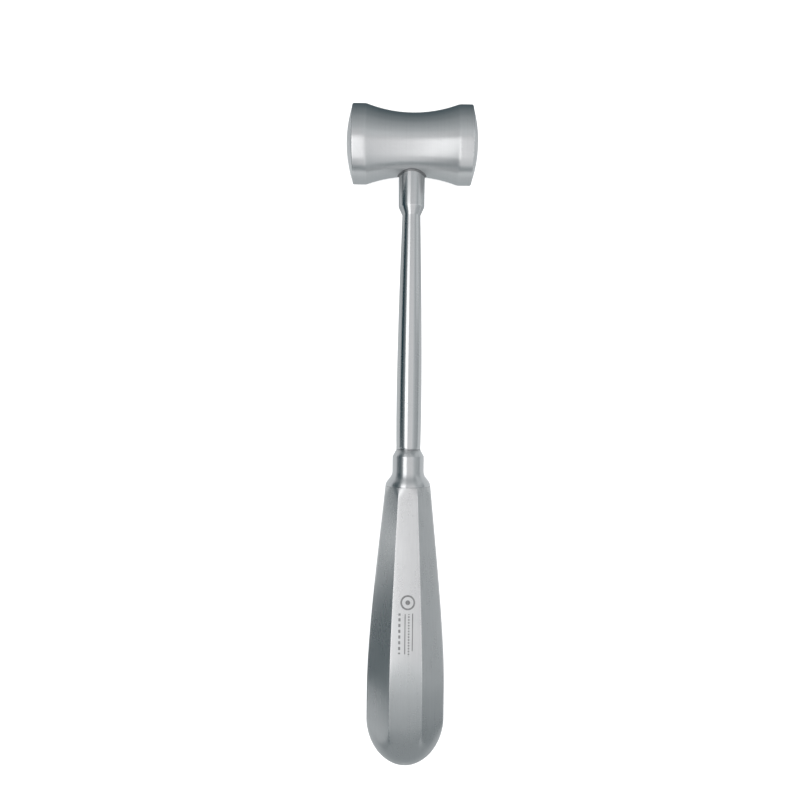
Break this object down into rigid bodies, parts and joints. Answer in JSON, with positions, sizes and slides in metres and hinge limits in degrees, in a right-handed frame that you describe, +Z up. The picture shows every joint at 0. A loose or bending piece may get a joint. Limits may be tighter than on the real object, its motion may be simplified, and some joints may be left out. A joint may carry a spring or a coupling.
{
  "type": "surgical bone mallet",
  "caption": "All-steel surgical mallet with a waisted barrel head, domed striking faces, slim round shaft, neck ring and a hollow octagonal handle.",
  "frame": {"origin": "on the table, at the middle of the bounding box's base, with the mallet lying on its back", "axes": "+Y from the butt towards the head along the shaft, +X along the head's own axis, +Z up, out of the handle's front facet"},
  "size_m": [0.0438, 0.22, 0.0261],
  "materials": {
    "satin_steel": "satin, fine turning marks",
    "polished_steel": "polished",
    "brushed_steel": "fine lengthwise brushing",
    "silver_solder": "dull hard solder",
    "ground_weld": "weld ground flush"
  },
  "bodies": {
    "root": {"head_barrel": "satin_steel", "head_lock_pin": "satin_steel", "head_braze_ring": "silver_solder", "shaft": "polished_steel", "neck_ferrule": "polished_steel", "tang_braze_ring": "silver_solder", "handle_shell_front": "brushed_steel", "handle_shell_rear": "brushed_steel", "seam_weld_left": "ground_weld", "seam_weld_right": "ground_weld", "butt_vent_plug": "brushed_steel"}
  },
  "joints": []
}
